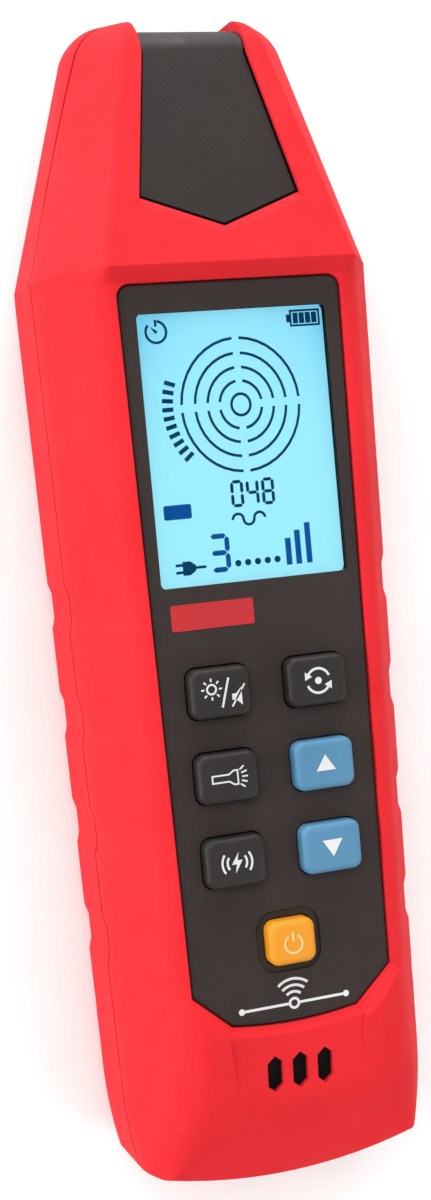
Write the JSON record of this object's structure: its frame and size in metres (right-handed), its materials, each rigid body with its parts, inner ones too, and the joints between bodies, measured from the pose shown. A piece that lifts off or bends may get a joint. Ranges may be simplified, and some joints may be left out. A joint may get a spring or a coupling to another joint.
{
  "type": "wire detector",
  "caption": "Hand-held cable locator with a tapered sensing head, a backlit display, a silicone keypad, a torch, a chin speaker and a sliding battery door on its back.",
  "frame": {"origin": "middle of the box in plan, on the flat of the back that the tool lies on", "axes": "+Y along the case towards the sensing head, +Z out of the face with the display, +X to the right as the face is read"},
  "size_m": [0.0594, 0.198, 0.036],
  "materials": {
    "red_shell": "fine satin moulded red",
    "charcoal_trim": "satin charcoal",
    "clear_lens": "clear polished",
    "lamp_resin": "clear lamp resin",
    "display_cyan": "backlit cyan",
    "white_plastic": "plain white",
    "grey_rubber": "soft silicone",
    "gilt_copper": "bare copper",
    "green_board": "lacquered",
    "black_resin": "moulded black",
    "screw_steel": "zinc plated",
    "speaker_metal": "dark pressed can",
    "black_cloth": "fine black mesh cloth",
    "ferrite": "ground dark grey",
    "contact_steel": "nickel plated spring steel",
    "cell_jacket": "plain printed jacket",
    "dark_key": "satin silicone",
    "blue_key": "satin silicone",
    "orange_key": "satin silicone"
  },
  "bodies": {
    "case": {"front_shell": "red_shell", "rear_shell": "red_shell", "head_cap": "charcoal_trim", "face_panel": "charcoal_trim", "torch_lens": "clear_lens", "display_lens": "clear_lens", "torch_lamp": "lamp_resin", "display_glass": "display_cyan", "display_guide": "white_plastic", "display_frame": "white_plastic", "contact_strip": "grey_rubber", "keypad_mat": "grey_rubber", "key_contacts": "gilt_copper", "main_board": "green_board", "board_chips": "black_resin", "board_screws": "screw_steel", "case_screws": "screw_steel", "speaker": "speaker_metal", "speaker_cloth": "black_cloth", "ferrite_rod": "ferrite", "coil_bobbin": "black_resin", "coil_winding": "gilt_copper", "field_plate": "gilt_copper", "battery_contacts": "contact_steel", "battery_cell_1": "cell_jacket", "battery_cell_2": "cell_jacket", "battery_cell_3": "cell_jacket"},
    "light_key": {"light_key": "dark_key"},
    "torch_key": {"torch_key": "dark_key"},
    "sense_key": {"sense_key": "dark_key"},
    "mode_key": {"mode_key": "dark_key"},
    "up_key": {"up_key": "blue_key"},
    "down_key": {"down_key": "blue_key"},
    "power_key": {"power_key": "orange_key"},
    "battery_door": {"battery_door": "red_shell"}
  },
  "joints": [
    {"name": "light_key_press", "type": "slide", "parent": "case", "child": "light_key", "axis": [0, 0, -1], "range_m": [0, 0.0007], "stiffness_N_per_m": 900},
    {"name": "torch_key_press", "type": "slide", "parent": "case", "child": "torch_key", "axis": [0, 0, -1], "range_m": [0, 0.0007], "stiffness_N_per_m": 900},
    {"name": "sense_key_press", "type": "slide", "parent": "case", "child": "sense_key", "axis": [0, 0, -1], "range_m": [0, 0.0007], "stiffness_N_per_m": 900},
    {"name": "mode_key_press", "type": "slide", "parent": "case", "child": "mode_key", "axis": [0, 0, -1], "range_m": [0, 0.0007], "stiffness_N_per_m": 900},
    {"name": "up_key_press", "type": "slide", "parent": "case", "child": "up_key", "axis": [0, 0, -1], "range_m": [0, 0.0007], "stiffness_N_per_m": 900},
    {"name": "down_key_press", "type": "slide", "parent": "case", "child": "down_key", "axis": [0, 0, -1], "range_m": [0, 0.0007], "stiffness_N_per_m": 900},
    {"name": "power_key_press", "type": "slide", "parent": "case", "child": "power_key", "axis": [0, 0, -1], "range_m": [0, 0.0007], "stiffness_N_per_m": 900},
    {"name": "battery_door_slide", "type": "slide", "parent": "case", "child": "battery_door", "axis": [0, -1, 0], "range_m": [0, 0.064]}
  ]
}
